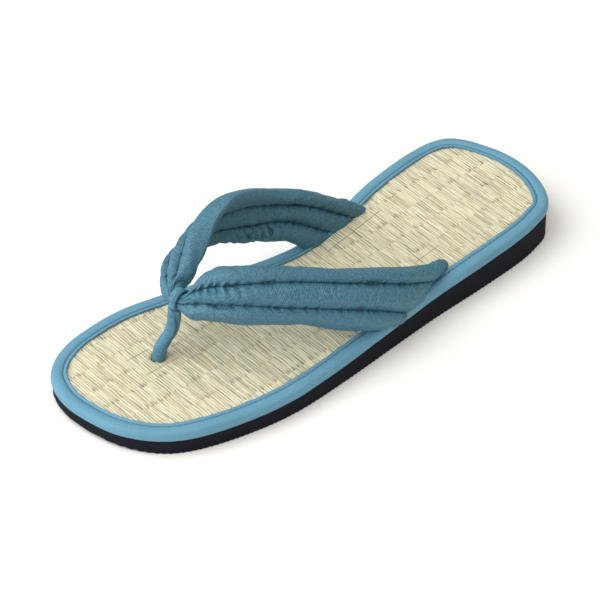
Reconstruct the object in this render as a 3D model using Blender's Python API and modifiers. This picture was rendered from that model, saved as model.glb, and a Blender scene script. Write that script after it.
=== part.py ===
"""Left thong sandal: foam outsole, straw insole, cloth edge binding, quilted V strap and toe post.

Metres, +Z up. The toe points to -Y and the big toe is on the -X side. The origin lies on the
ground under the middle of the sole. The outsole is a low wedge, flat underneath with a little toe
spring, and everything on top of it follows its upper surface.
"""
from math import pi, radians, sin

import bmesh
import bpy
from mathutils import Matrix, Vector

MM = 0.001
GAP = 0.3 * MM                     # air left between two pieces that touch
WELD = 0.01 * MM                   # doubled points closer than this become one
CUT_REACH = 15.0 * MM              # a cutter runs at least this far past what it cuts

# Footbed, heights above the outsole's upper surface
FOOTBED_HEIGHT = 5.0 * MM          # top of the binding
INSOLE_TOP = 4.0 * MM              # straw surface
BINDING_CLOTH = 0.7 * MM           # thickness of the edge binding
BINDING_WIDTH = 7.4 * MM           # how far the binding laps onto the straw
BINDING_EDGE_ROUND = 1.2 * MM
SQUARE_EDGE = radians(60.0)        # only edges sharper than this are rounded
SMOOTH_EDGE = radians(40.0)        # edges blunter than this are shaded smooth
OUTSOLE_INSET = 0.6 * MM           # the binding stands this far proud of the outsole
OUTLINE_POINTS = 96
OUTLINE_STEPS = 8                  # points worked out between two stations before they are evened

# Height of the outsole's upper surface and of its underside above the ground, in mm
SOLE_PROFILE = (
    # y, upper surface, underside
    (-131.0, 7.3, 2.1),
    (-119.0, 7.3, 0.65),
    (-107.0, 7.4, 0.0),
    (-85.0, 7.6, 0.0),
    (-60.0, 8.0, 0.0),
    (-35.0, 8.9, 0.0),
    (-10.0, 10.0, 0.0),
    (15.0, 11.1, 0.0),
    (40.0, 12.2, 0.0),
    (65.0, 13.3, 0.0),
    (90.0, 14.1, 0.0),
    (131.0, 14.9, 0.0),
)

# The sole seen from above: its medial and lateral edge at each station along the foot, in mm
TOE_TIP = (-13.5, -130.7)
HEEL_END = (-2.0, 130.8)
OUTLINE = (
    # y, medial x, lateral x
    (-127.5, -28.8, 6.2),
    (-122.0, -36.5, 18.8),
    (-112.0, -43.0, 30.7),
    (-98.0, -46.6, 38.6),
    (-76.0, -47.5, 44.6),
    (-50.0, -42.0, 47.7),
    (-18.0, -33.4, 45.8),
    (11.0, -27.4, 42.8),
    (40.0, -31.9, 40.0),
    (68.0, -39.1, 38.4),
    (96.0, -42.4, 36.0),
    (110.0, -41.7, 32.8),
    (120.0, -35.7, 28.5),
    (127.5, -20.6, 15.6),
)

# Slots at the binding's inner edge, where the strap ends pass through the insole
SLOT_INSET = 8.9 * MM              # outline to the middle of the slot
SLOT_WIDTH = 2.4 * MM
SLOT_POINTS = 9                    # points along the slot
TAB_THICKNESS = SLOT_WIDTH - 2.0 * GAP
LATERAL_SLOT_Y = (17.0 * MM, 54.0 * MM)
MEDIAL_SLOT_Y = (15.0 * MM, 51.0 * MM)
TAB_RISE = 4.0 * MM                # how far a tab reaches up into its strap
TAB_TAPER = 4.0 * MM               # how much each end of its top edge is drawn in
LATERAL_TAB_LEAN = 2.0 * MM        # how far its top leans out over the binding
MEDIAL_TAB_LEAN = 1.0 * MM

# Toe post and the knot that it holds
POST_HOLE = Vector((-10.9, -81.8, 0.0)) * MM
POST_RADIUS = 3.2 * MM
HOLE_ROOM = 0.6 * MM               # air around the post in the insole's hole
POST_ROOM = 0.4 * MM               # air around the post where it passes into the strap
POST_ROUTE = (
    # x, y, height above the ground, radius factor
    (-10.9, -81.8, 8.2, 1.0),
    (-10.9, -81.7, 12.5, 1.0),
    (-10.6, -79.6, 17.5, 1.0),
    (-10.2, -76.4, 23.0, 0.98),
    (-9.8, -74.2, 29.0, 1.02),
    (-9.5, -72.6, 35.0, 1.1),
)
KNOT = Vector((-9.5, -71.0, 39.0)) * MM
KNOT_TILT = radians(-20.0)         # the gathered strap leans back
NECK_DEPTH = 4.0 * MM              # half the gathered strap's thickness
NECK_HEIGHT = 5.2 * MM             # half its height
NECK_LENGTH = 13.0 * MM
LOOP_WALL = 1.6 * MM
LOOP_WIDTH = 5.0 * MM

# The strap's two arms, from the knot to the slot. The rear edge is the one nearer the heel.
STITCHES = (0.0, 0.3, 0.645, 1.0)  # edges and stitch lines, shares of the width from the rear
STITCH_HALF = 0.9 * MM             # half thickness along a stitch line
SECTIONS_PER_ROW = 3
POINTS_PER_LOBE = 5
LOBE_FULLNESS = 0.65               # 1 is a sine, less is fuller
LATERAL_ARM = (
    # rear edge x, y, z,    front edge x, y, z,    bow,  half thickness, in mm
    (-6.2, -68.9, 44.4, -6.2, -73.2, 33.6, 0.0, 3.6),
    (-4.0, -63.0, 52.5, -1.0, -71.0, 34.2, 1.5, 3.9),
    (0.0, -57.5, 58.0, 6.0, -66.0, 34.8, 3.0, 4.1),
    (6.0, -50.5, 59.5, 14.0, -57.3, 33.8, 4.0, 4.2),
    (12.5, -37.5, 56.3, 22.0, -44.0, 31.0, 4.5, 4.3),
    (19.0, -21.0, 50.8, 29.0, -29.5, 27.0, 4.5, 4.4),
    (24.5, -4.5, 44.8, 34.5, -18.0, 21.8, 4.5, 4.6),
    (28.0, 12.5, 38.6, 39.5, -8.0, 18.0, 4.0, 4.8),
    (30.3, 29.0, 32.0, 42.5, 1.0, 14.8, 3.0, 4.6),
    (31.0, 44.0, 26.2, 42.8, 7.5, 12.4, 1.5, 4.0),
    (30.0, 53.0, 21.8, 38.8, 13.5, 11.0, 0.5, 3.1),
    (29.3, 56.0, 16.5, 35.5, 17.0, 9.5, 0.0, 1.6),
)
MEDIAL_ARM = (
    (-12.8, -68.9, 44.4, -12.8, -73.2, 33.6, 0.0, 3.6),
    (-12.8, -61.0, 47.5, -20.5, -71.5, 37.0, 1.5, 3.9),
    (-15.5, -50.5, 54.0, -28.0, -62.0, 40.5, 3.0, 4.1),
    (-21.0, -39.0, 62.5, -30.0, -48.0, 41.0, 4.0, 4.2),
    (-25.0, -26.5, 65.5, -31.0, -35.0, 38.5, 4.5, 4.3),
    (-27.5, -13.0, 60.5, -30.5, -20.0, 32.5, 4.5, 4.4),
    (-28.5, 1.0, 53.5, -29.0, -7.0, 27.0, 4.0, 4.6),
    (-28.5, 15.0, 46.0, -26.5, 3.5, 23.0, 3.0, 4.8),
    (-27.8, 29.5, 36.5, -24.0, 10.0, 19.0, 2.0, 4.6),
    (-26.8, 42.5, 28.0, -21.5, 13.5, 15.5, 1.0, 4.0),
    (-25.6, 51.5, 17.0, -19.6, 16.5, 10.0, 0.0, 3.0),
)

COLOURS = {
    # name: (red, green, blue, roughness)
    "outsole": (0.012, 0.012, 0.02, 0.85),
    "insole": (0.74, 0.66, 0.44, 0.8),
    "edge_binding": (0.16, 0.37, 0.56, 0.9),
    "upper_straps": (0.07, 0.2, 0.3, 0.9),
    "toe_post": (0.07, 0.2, 0.3, 0.9),
}


def clear_scene():
    for thing in list(bpy.data.objects):
        bpy.data.objects.remove(thing, do_unlink=True)


def collection(name):
    made = bpy.data.collections.new(name)
    bpy.context.scene.collection.children.link(made)
    return made


def material(name):
    red, green, blue, roughness = COLOURS[name]
    made = bpy.data.materials.new(name)
    made.use_nodes = True
    shader = made.node_tree.nodes["Principled BSDF"]
    shader.inputs["Base Color"].default_value = (red, green, blue, 1.0)
    shader.inputs["Roughness"].default_value = roughness
    shader.inputs["Metallic"].default_value = 0.0
    return made


def as_mesh(thing, name, group, weld=False):
    """Replace an object by a plain mesh of what its modifiers or its curve make, in world space."""
    bpy.context.view_layer.update()
    evaluated = thing.evaluated_get(bpy.context.evaluated_depsgraph_get())
    mesh = bpy.data.meshes.new_from_object(evaluated)
    mesh.transform(thing.matrix_world)
    if weld:
        shell = bmesh.new()
        shell.from_mesh(mesh)
        bmesh.ops.remove_doubles(shell, verts=shell.verts, dist=WELD)
        bmesh.ops.recalc_face_normals(shell, faces=shell.faces)
        shell.to_mesh(mesh)
        shell.free()
    bpy.data.objects.remove(thing, do_unlink=True)
    made = bpy.data.objects.new(name, mesh)
    group.objects.link(made)
    return made


def boolean(target, tool, operation):
    cut = target.modifiers.new(operation.lower(), "BOOLEAN")
    cut.operation = operation
    cut.solver = "EXACT"
    cut.object = tool
    return cut


def fill_pockets(thing):
    """Keep only the outer shell of a piece, which fills any small pocket that its joins closed."""
    shell = bmesh.new()
    shell.from_mesh(thing.data)
    unseen = set(shell.verts)
    islands = []
    while unseen:
        edge_of_search = [unseen.pop()]
        island = set(edge_of_search)
        while edge_of_search:
            corner = edge_of_search.pop()
            for edge in corner.link_edges:
                neighbour = edge.other_vert(corner)
                if neighbour not in island:
                    island.add(neighbour)
                    edge_of_search.append(neighbour)
        unseen -= island
        islands.append(island)
    outer = max(islands, key=len)
    inside = [corner for corner in shell.verts if corner not in outer]
    bmesh.ops.delete(shell, geom=inside, context="VERTS")
    shell.to_mesh(thing.data)
    shell.free()
    return thing


def sole_height(y, column):
    """Smooth height of the outsole at y: column 1 is its upper surface, column 2 its underside."""
    rows = SOLE_PROFILE
    place = min(max(y / MM, rows[0][0]), rows[-1][0])
    index = max(i for i in range(len(rows) - 1) if rows[i][0] <= place)
    start = rows[index]
    end = rows[index + 1]
    before = rows[max(index - 1, 0)]
    after = rows[min(index + 2, len(rows) - 1)]
    span = end[0] - start[0]
    t = (place - start[0]) / span
    leave = (end[column] - before[column]) / (end[0] - before[0]) * span
    arrive = (after[column] - start[column]) / (after[0] - start[0]) * span
    rise = end[column] - start[column]
    curve = rise * t * t * (3.0 - 2.0 * t) + leave * t * (1.0 - t) ** 2 - arrive * t * t * (1.0 - t)
    return max(start[column] + curve, 0.0) * MM


def sole_top(y):
    return sole_height(y, 1)


def catmull_rom(before, start, end, after, t):
    """Smooth point between start and end for plain numbers, vectors or anything that adds."""
    square = t * t
    cube = square * t
    return (
        start * 2.0
        + (end - before) * t
        + (before * 2.0 - start * 5.0 + end * 4.0 - after) * square
        + (start * 3.0 - before - end * 3.0 + after) * cube
    ) * 0.5


def even_loop(points, count):
    """The same closed loop with its points spaced evenly."""
    closed = points + points[:1]
    travelled = [0.0]
    for a, b in zip(closed[:-1], closed[1:]):
        travelled.append(travelled[-1] + (b - a).length)
    evened = []
    span = 0
    for index in range(count):
        goal = travelled[-1] * index / count
        while travelled[span + 1] < goal:
            span += 1
        share = (goal - travelled[span]) / (travelled[span + 1] - travelled[span])
        evened.append(closed[span].lerp(closed[span + 1], share))
    return evened


def outline(inset=0.0):
    """The sole's outline seen from above, toe tip first and then down the lateral side."""
    lateral = [Vector((row[2], row[0])) for row in OUTLINE]
    medial = [Vector((row[1], row[0])) for row in reversed(OUTLINE)]
    knots = [Vector(TOE_TIP)] + lateral + [Vector(HEEL_END)] + medial
    fine = []
    for index in range(len(knots)):
        four = [knots[(index + shift) % len(knots)] for shift in (-1, 0, 1, 2)]
        fine += [catmull_rom(*four, step / OUTLINE_STEPS) for step in range(OUTLINE_STEPS)]
    even = even_loop([point * MM for point in fine], OUTLINE_POINTS)
    moved = []
    for index, point in enumerate(even):
        along = even[(index + 1) % OUTLINE_POINTS] - even[index - 1]
        inward = Vector((-along.y, along.x)).normalized()
        moved.append(point + inward * inset)
    return moved


def block(name, group, loop, low, high):
    """A flat outline extruded from low to high, as a mesh."""
    shape = bpy.data.curves.new(name, "CURVE")
    shape.dimensions = "2D"
    shape.fill_mode = "BOTH"
    shape.extrude = (high - low) / 2.0
    spline = shape.splines.new("POLY")
    spline.points.add(len(loop) - 1)
    for point, place in zip(spline.points, loop):
        point.co = (place.x, place.y, 0.0, 1.0)
    spline.use_cyclic_u = True
    flat = bpy.data.objects.new(name, shape)
    flat.location.z = (high + low) / 2.0
    group.objects.link(flat)
    return as_mesh(flat, name, group, weld=True)


def cut_across(thing):
    """Cut a level piece across at each station of the sole's profile, so that it can bend there."""
    shell = bmesh.new()
    shell.from_mesh(thing.data)
    for row in SOLE_PROFILE[1:-1]:
        everything = shell.verts[:] + shell.edges[:] + shell.faces[:]
        bmesh.ops.bisect_plane(
            shell, geom=everything, plane_co=(0.0, row[0] * MM, 0.0), plane_no=(0.0, 1.0, 0.0))
    shell.to_mesh(thing.data)
    shell.free()


def lay_on_sole(thing):
    """Raise a piece made on a level floor so that it follows the outsole's upper surface."""
    cut_across(thing)
    for corner in thing.data.vertices:
        corner.co.z += sole_top(corner.co.y)
    return thing


def slot_line(side, ends, extra=0.0):
    """Points along the slot's middle, from its toe end to its heel end."""
    inner = outline(SLOT_INSET)
    edge = [point for point in inner if point.x * side > 0.0]
    edge.sort(key=lambda point: point.y)
    low = ends[0] - extra
    high = ends[1] + extra
    line = []
    for index in range(SLOT_POINTS):
        y = low + (high - low) * index / (SLOT_POINTS - 1)
        above = next(i for i, point in enumerate(edge) if point.y > y)
        a = edge[above - 1]
        b = edge[above]
        line.append(a.lerp(b, (y - a.y) / (b.y - a.y)))
    return line


def strip(line, width):
    """A closed loop of the given width around a line of points."""
    left = []
    right = []
    for index, point in enumerate(line):
        along = line[min(index + 1, len(line) - 1)] - line[max(index - 1, 0)]
        across = Vector((-along.y, along.x)).normalized() * width / 2.0
        left.append(point + across)
        right.append(point - across)
    return left + right[::-1]


def make_outsole(parts):
    body = block("outsole", parts, outline(OUTSOLE_INSET), 0.0, 1.0)
    cut_across(body)
    for corner in body.data.vertices:
        corner.co.z = sole_height(corner.co.y, 1 if corner.co.z > 0.5 else 2)
    return body


def make_insole(parts, cutters):
    body = lay_on_sole(block("insole", parts, outline(BINDING_CLOTH + GAP), GAP, INSOLE_TOP))
    for side, ends in ((1, LATERAL_SLOT_Y), (-1, MEDIAL_SLOT_Y)):
        loop = strip(slot_line(side, ends, 2.0 * GAP), SLOT_WIDTH)
        slot = block("slot_cutter", cutters, loop, -CUT_REACH, CUT_REACH)
        boolean(body, lay_on_sole(slot), "DIFFERENCE")
    bpy.ops.mesh.primitive_cylinder_add(
        vertices=24, radius=POST_RADIUS + HOLE_ROOM, depth=4.0 * CUT_REACH, location=POST_HOLE)
    hole = bpy.context.object
    hole.name = "post_hole_cutter"
    move_to(hole, cutters)
    boolean(body, hole, "DIFFERENCE")
    return body


def move_to(thing, group):
    for other in list(thing.users_collection):
        other.objects.unlink(thing)
    group.objects.link(thing)


def make_binding(parts, cutters):
    body = block("edge_binding", parts, outline(), GAP, FOOTBED_HEIGHT)
    soften = body.modifiers.new("rounded_edge", "BEVEL")
    soften.width = BINDING_EDGE_ROUND
    soften.segments = 2
    soften.limit_method = "ANGLE"
    soften.angle_limit = SQUARE_EDGE
    room = block("binding_room", cutters, outline(BINDING_CLOTH), -CUT_REACH, INSOLE_TOP + GAP)
    window = block("binding_window", cutters, outline(BINDING_WIDTH), -CUT_REACH, CUT_REACH)
    boolean(body, room, "DIFFERENCE")
    boolean(body, window, "DIFFERENCE")
    ring = as_mesh(body, "edge_binding", parts)
    return lay_on_sole(ring)


def strap_section(row, outward):
    """One closed cross-section of the strap: outer skin rear to front, then inner skin back."""
    rear, front, bow, half = row
    outer = []
    inner = []
    lobes = len(STITCHES) - 1
    total = lobes * POINTS_PER_LOBE
    for index in range(total + 1):
        lobe = min(index // POINTS_PER_LOBE, lobes - 1)
        part = (index - lobe * POINTS_PER_LOBE) / POINTS_PER_LOBE
        share = STITCHES[lobe] + (STITCHES[lobe + 1] - STITCHES[lobe]) * part
        swell = abs(sin(pi * part)) ** LOBE_FULLNESS
        thick = STITCH_HALF + (half - STITCH_HALF) * swell
        if index in (0, total):
            thick = 0.0
        middle = rear.lerp(front, share) + outward * bow * 4.0 * share * (1.0 - share)
        outer.append(middle + outward * thick)
        if thick:
            inner.append(middle - outward * thick)
    return outer + inner[::-1]


def smooth_rows(table):
    """The table's rows as vectors, with smooth rows put between them."""
    rows = []
    for numbers in table:
        rear = Vector(numbers[0:3]) * MM
        front = Vector(numbers[3:6]) * MM
        rows.append((rear, front, numbers[6] * MM, numbers[7] * MM))
    smooth = []
    for index in range(len(rows) - 1):
        near = [rows[max(index - 1, 0)], rows[index], rows[index + 1]]
        near.append(rows[min(index + 2, len(rows) - 1)])
        for step in range(SECTIONS_PER_ROW):
            t = step / SECTIONS_PER_ROW
            smooth.append(tuple(catmull_rom(*column, t) for column in zip(*near)))
    smooth.append(rows[-1])
    return smooth


def loft(name, group, sections):
    """Skin a list of equal closed sections and close both ends."""
    shell = bmesh.new()
    rings = [[shell.verts.new(place) for place in section] for section in sections]
    for first, second in zip(rings[:-1], rings[1:]):
        for index in range(len(first)):
            after = (index + 1) % len(first)
            shell.faces.new((first[index], first[after], second[after], second[index]))
    shell.faces.new(rings[0])
    shell.faces.new(rings[-1])
    bmesh.ops.triangulate(shell, faces=shell.faces)
    bmesh.ops.recalc_face_normals(shell, faces=shell.faces)
    mesh = bpy.data.meshes.new(name)
    shell.to_mesh(mesh)
    shell.free()
    made = bpy.data.objects.new(name, mesh)
    group.objects.link(made)
    return made


def make_arm(name, group, table, side):
    rows = smooth_rows(table)
    sections = []
    for index, row in enumerate(rows):
        ahead = rows[min(index + 1, len(rows) - 1)]
        behind = rows[max(index - 1, 0)]
        along = ahead[0] + ahead[1] - behind[0] - behind[1]
        across = (row[1] - row[0]).normalized()
        outward = along.cross(across).normalized() * -side
        sections.append(strap_section(row, outward))
    return loft(name, group, sections)


def footbed_envelope(cutters):
    """The sole and footbed grown by the gap, to keep the strap off them."""
    body = block("footbed_envelope", cutters, outline(-GAP), -CUT_REACH, FOOTBED_HEIGHT + GAP)
    cut_across(body)
    for corner in body.data.vertices:
        if corner.co.z > 0.0:
            corner.co.z += sole_top(corner.co.y)
    return body


def neck(name, group, depth, height, length):
    """The gathered middle of the strap: an elliptic bar along X."""
    bpy.ops.mesh.primitive_cylinder_add(vertices=28, radius=1.0, depth=1.0)
    bar = bpy.context.object
    bar.name = name
    bar.data.transform(Matrix.Rotation(pi / 2.0, 4, "Y"))
    bar.data.transform(Matrix.Diagonal((length, depth, height, 1.0)))
    bar.data.transform(Matrix.Rotation(KNOT_TILT, 4, "X"))
    bar.data.transform(Matrix.Translation(KNOT))
    move_to(bar, group)
    return bar


def make_tab(name, cutters, side, ends, lean):
    """The flat end that a strap pushes through its slot: upright below, leaning out above."""
    clear_of_binding = FOOTBED_HEIGHT + GAP
    levels = (
        # height, shift outward, taper
        (2.0 * GAP, 0.0, 0.0),
        (clear_of_binding, 0.0, 0.0),
        (clear_of_binding + TAB_RISE, lean, TAB_TAPER),
    )
    sections = []
    for height, shift, taper in levels:
        loop = strip(slot_line(side, ends, -taper), TAB_THICKNESS)
        sections.append([Vector((p.x + side * shift, p.y, sole_top(p.y) + height)) for p in loop])
    return loft(name, cutters, sections)


def make_straps(parts, cutters):
    body = make_arm("upper_straps", parts, LATERAL_ARM, 1)
    medial = make_arm("medial_arm", cutters, MEDIAL_ARM, -1)
    knot = neck("knot_neck", cutters, NECK_DEPTH, NECK_HEIGHT, NECK_LENGTH)
    boolean(body, medial, "UNION")
    boolean(body, post_tube("post_room", cutters, POST_RADIUS + POST_ROOM), "DIFFERENCE")
    boolean(body, neck("loop_clearance", cutters, NECK_DEPTH + 2.0 * GAP + LOOP_WALL,
                       NECK_HEIGHT + 2.0 * GAP + LOOP_WALL, LOOP_WIDTH + 2.0 * GAP), "DIFFERENCE")
    boolean(body, knot, "UNION")
    boolean(body, footbed_envelope(cutters), "DIFFERENCE")
    boolean(body, make_tab("lateral_tab", cutters, 1, LATERAL_SLOT_Y, LATERAL_TAB_LEAN), "UNION")
    boolean(body, make_tab("medial_tab", cutters, -1, MEDIAL_SLOT_Y, MEDIAL_TAB_LEAN), "UNION")
    return fill_pockets(as_mesh(body, "upper_straps", parts))


def post_tube(name, group, radius):
    """The toe post's tube from inside the insole up into the knot."""
    route = bpy.data.curves.new(name, "CURVE")
    route.dimensions = "3D"
    route.bevel_depth = radius
    route.bevel_resolution = 4
    route.resolution_u = 3
    route.use_fill_caps = True
    spline = route.splines.new("NURBS")
    spline.points.add(len(POST_ROUTE) - 1)
    for point, (x, y, z, factor) in zip(spline.points, POST_ROUTE):
        point.co = (x * MM, y * MM, z * MM, 1.0)
        point.radius = factor
    spline.order_u = 3
    spline.use_endpoint_u = True
    tube = bpy.data.objects.new(name, route)
    group.objects.link(tube)
    return as_mesh(tube, name, group, weld=True)


def make_toe_post(parts, cutters):
    post = post_tube("toe_post", parts, POST_RADIUS)
    outer = neck("loop_outer", cutters, NECK_DEPTH + GAP + LOOP_WALL,
                 NECK_HEIGHT + GAP + LOOP_WALL, LOOP_WIDTH)
    room = neck("loop_room", cutters, NECK_DEPTH + GAP, NECK_HEIGHT + GAP, 2.0 * NECK_LENGTH)
    boolean(post, outer, "UNION")
    boolean(post, room, "DIFFERENCE")
    return post


def main():
    clear_scene()
    parts = collection("thong_sandal")
    cutters = collection("cutters")
    made = (
        make_outsole(parts),
        make_insole(parts, cutters),
        make_binding(parts, cutters),
        make_straps(parts, cutters),
        make_toe_post(parts, cutters),
    )
    for piece in made:
        piece.data.materials.clear()
        piece.data.materials.append(material(piece.name))
        piece.data.shade_smooth()
        piece.data.set_sharp_from_angle(angle=SMOOTH_EDGE)
    for tool in cutters.objects:
        tool.hide_render = True
        tool.display_type = "WIRE"


main()
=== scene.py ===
"""Looks of a left thong sandal: straw mat, bound edge, quilted straps, toe post and foam sole.

Laid out as an add-on: each piece is one operator, and the sizes and colours a user would change
are properties. Lengths are metres, +Z is up, the toe points to -Y and the big toe is at -X.
"""

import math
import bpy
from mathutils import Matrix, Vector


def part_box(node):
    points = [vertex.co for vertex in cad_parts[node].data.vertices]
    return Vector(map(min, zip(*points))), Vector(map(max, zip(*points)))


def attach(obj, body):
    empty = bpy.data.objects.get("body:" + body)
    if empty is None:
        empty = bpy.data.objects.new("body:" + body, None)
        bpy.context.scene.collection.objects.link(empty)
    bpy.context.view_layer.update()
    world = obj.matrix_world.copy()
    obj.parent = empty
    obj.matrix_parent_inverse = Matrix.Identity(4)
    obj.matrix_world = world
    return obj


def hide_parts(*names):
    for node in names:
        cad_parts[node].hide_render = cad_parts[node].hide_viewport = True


bl_info = {
    "name": "Thong Sandal Looks",
    "version": (1, 0, 0),
    "blender": (4, 5, 0),
    "location": "3D View > Sidebar > Sandal",
    "description": "Straw mat, bias tape, quilted straps and foam sole around a sandal's solids",
    "category": "Object",
}

import bpy
import numpy as np
from bpy.props import FloatProperty, FloatVectorProperty, PointerProperty
from mathutils import Vector

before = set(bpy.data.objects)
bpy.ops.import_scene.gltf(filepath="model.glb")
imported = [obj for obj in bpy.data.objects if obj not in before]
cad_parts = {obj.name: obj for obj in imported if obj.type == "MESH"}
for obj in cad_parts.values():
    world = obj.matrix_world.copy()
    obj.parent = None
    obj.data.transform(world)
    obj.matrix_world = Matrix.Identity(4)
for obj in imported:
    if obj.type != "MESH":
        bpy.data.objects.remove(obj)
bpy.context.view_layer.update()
MM = 0.001
BODY = "root"

# The quilted band from its lateral slot over the knot to its medial slot, in mm. The rear edge is
# the one nearer the heel. Bow is how far the middle arches out, half is half a lobe's thickness.
STRAP_ROWS = (
    # rear x, y, z,      front x, y, z,       bow, half
    (29.3, 56.0, 16.5, 35.5, 17.0, 9.5, 0.0, 1.6),
    (30.0, 53.0, 21.4, 38.2, 14.5, 11.3, 0.5, 3.1),
    (31.0, 44.0, 25.6, 41.6, 8.8, 13.0, 1.5, 4.0),
    (30.3, 29.0, 31.6, 41.7, 1.8, 15.6, 3.0, 4.6),
    (28.0, 12.5, 38.6, 39.0, -7.6, 18.8, 4.0, 4.8),
    (24.5, -4.5, 44.8, 34.3, -17.9, 22.2, 4.5, 4.6),
    (19.0, -21.0, 50.8, 28.9, -29.4, 27.1, 4.5, 4.4),
    (12.5, -37.5, 56.3, 22.0, -44.0, 31.0, 4.5, 4.3),
    (6.0, -50.5, 59.5, 14.0, -57.3, 33.8, 4.0, 4.2),
    (0.0, -57.5, 58.0, 6.0, -66.0, 34.8, 3.0, 4.1),
    (-3.6, -63.0, 53.0, -0.6, -70.2, 34.4, 1.8, 3.9),
    (-6.4, -68.2, 44.6, -6.2, -71.8, 36.7, 0.0, 3.5),
    (-12.2, -67.9, 44.4, -12.6, -72.0, 37.0, 0.0, 3.5),
    (-11.8, -60.0, 48.8, -20.0, -71.2, 37.2, 1.5, 3.9),
    (-15.0, -50.2, 54.0, -28.0, -62.0, 40.5, 3.0, 4.1),
    (-21.0, -39.0, 61.2, -30.0, -48.0, 41.0, 4.0, 4.2),
    (-25.0, -26.5, 64.2, -31.0, -35.0, 38.5, 4.5, 4.3),
    (-27.5, -13.0, 60.5, -30.5, -20.0, 32.5, 4.5, 4.4),
    (-28.5, 1.0, 53.5, -29.0, -7.0, 27.0, 4.0, 4.6),
    (-28.5, 15.0, 46.0, -26.5, 3.5, 23.0, 3.0, 4.8),
    (-28.0, 29.5, 36.5, -24.3, 10.0, 18.9, 2.0, 4.5),
    (-27.6, 43.8, 26.2, -22.8, 13.7, 14.9, 1.0, 3.8),
    (-26.7, 55.0, 16.2, -21.2, 17.2, 9.4, 0.0, 2.6),
)
# Where the two sewn lines lie across the band, as shares of its width from the rear edge
SEWN_LINES = (
    # mm from the knot (lateral side negative), rear line, front line
    (-130.0, 0.29, 0.76), (-116.0, 0.285, 0.745), (-111.0, 0.295, 0.73), (-102.0, 0.283, 0.703),
    (-92.0, 0.265, 0.677), (-83.0, 0.242, 0.655), (-73.0, 0.228, 0.65), (-63.0, 0.23, 0.665),
    (-54.0, 0.23, 0.662), (-44.0, 0.238, 0.645), (-34.0, 0.263, 0.62), (-28.0, 0.28, 0.61),
    (-20.0, 0.305, 0.635), (-14.0, 0.31, 0.605), (-10.0, 0.3, 0.588), (-6.0, 0.23, 0.555),
    (0.0, 0.28, 0.55), (4.0, 0.34, 0.565), (9.0, 0.395, 0.67), (14.0, 0.42, 0.74),
    (23.0, 0.44, 0.76), (40.0, 0.44, 0.76), (52.0, 0.435, 0.753), (62.0, 0.38, 0.743),
    (71.0, 0.348, 0.723), (76.0, 0.333, 0.69), (86.0, 0.3, 0.632), (95.0, 0.273, 0.62),
    (105.0, 0.257, 0.618), (115.0, 0.27, 0.608), (130.0, 0.2, 0.54),
)
SEWN_HALF = 1.2                         # half thickness along a sewn line, mm
KNOT = Vector((-9.5, -70.0, 40.7)) * MM
KNOT_TILT = math.radians(-22.0)         # the loop leans this far about the band's line
KNOT_DEPTH = 3.0 * MM                   # half the gathered band's thickness
KNOT_HEIGHT = 4.1 * MM                  # half its height
# Creases pressed in the band. Troughs are negative, ridges positive.
CREASES = (
    # skin (1 outer, -1 inner), height mm, half width mm, points: (mm from the knot, share across)
    (-1, -1.5, 0.8, ((61.0, 0.77), (62.6, 0.86), (62.4, 0.99))),
    (-1, 1.0, 0.8, ((64.6, 0.76), (65.4, 0.97))),
    (-1, -2.0, 0.8, ((66.4, 0.76), (68.2, 0.84), (69.8, 0.98))),
    (-1, 1.1, 0.8, ((69.2, 0.76), (71.6, 0.95))),
    (-1, -1.3, 0.7, ((72.2, 0.75), (73.0, 0.86), (72.4, 0.98))),
    (-1, 0.8, 0.7, ((74.4, 0.74), (74.6, 0.9))),
    (-1, -1.8, 0.9, ((77.2, 0.72), (76.6, 0.83), (77.6, 0.98))),
    (-1, 0.8, 0.8, ((79.2, 0.72), (79.0, 0.9))),
    (-1, -2.2, 0.9, ((81.2, 0.68), (81.6, 0.76), (80.8, 0.88))),
    (-1, 1.0, 1.5, ((84.6, 0.66), (85.4, 0.92))),
    (-1, -1.0, 0.8, ((57.0, 0.78), (58.4, 0.95))),
    (-1, -0.7, 0.9, ((51.0, 0.78), (51.6, 0.97))),
    (-1, 0.4, 1.0, ((54.0, 0.78), (54.6, 0.95))),
    (-1, -0.6, 0.8, ((98.0, 0.29), (99.0, 0.40))),
    (-1, -0.6, 0.8, ((90.0, 0.31), (90.6, 0.42))),
    (-1, -0.5, 0.8, ((103.0, 0.28), (103.6, 0.38))),
    (-1, -0.6, 1.2, ((106.0, 0.38), (114.0, 0.49), (122.0, 0.5))),
    (-1, 0.5, 1.4, ((108.0, 0.45), (116.0, 0.54))),
    (-1, -0.6, 1.0, ((60.0, 0.62), (64.0, 0.55), (70.0, 0.52))),
    (1, -0.9, 0.8, ((-17.0, 0.62), (-21.0, 0.655), (-26.0, 0.635))),
    (1, -0.5, 0.7, ((-21.0, 0.64), (-22.6, 0.57))),
    (1, -0.8, 0.55, ((-5.0, 0.50), (-8.0, 0.54), (-11.0, 0.52))),
    (1, -0.8, 0.5, ((-5.0, 0.40), (-7.5, 0.42), (-9.5, 0.44))),
    (1, -0.7, 0.5, ((-5.0, 0.58), (-7.0, 0.64), (-9.0, 0.66))),
    (1, -0.6, 0.6, ((-5.0, 0.14), (-9.0, 0.12), (-13.0, 0.10))),
    (1, -0.5, 0.6, ((4.5, 0.45), (9.0, 0.52), (15.0, 0.57))),
    (1, -0.5, 0.6, ((4.5, 0.78), (10.0, 0.86), (16.0, 0.88))),
    (1, -1.3, 0.6, ((3.0, 0.2), (3.8, 0.11), (4.6, 0.04), (5.2, -0.03))),
    (-1, -1.0, 0.6, ((4.8, -0.03), (5.4, 0.03), (6.2, 0.12))),
    (1, 0.5, 1.3, ((6.4, 0.28), (7.2, 0.12), (7.6, 0.0))),
)
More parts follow.
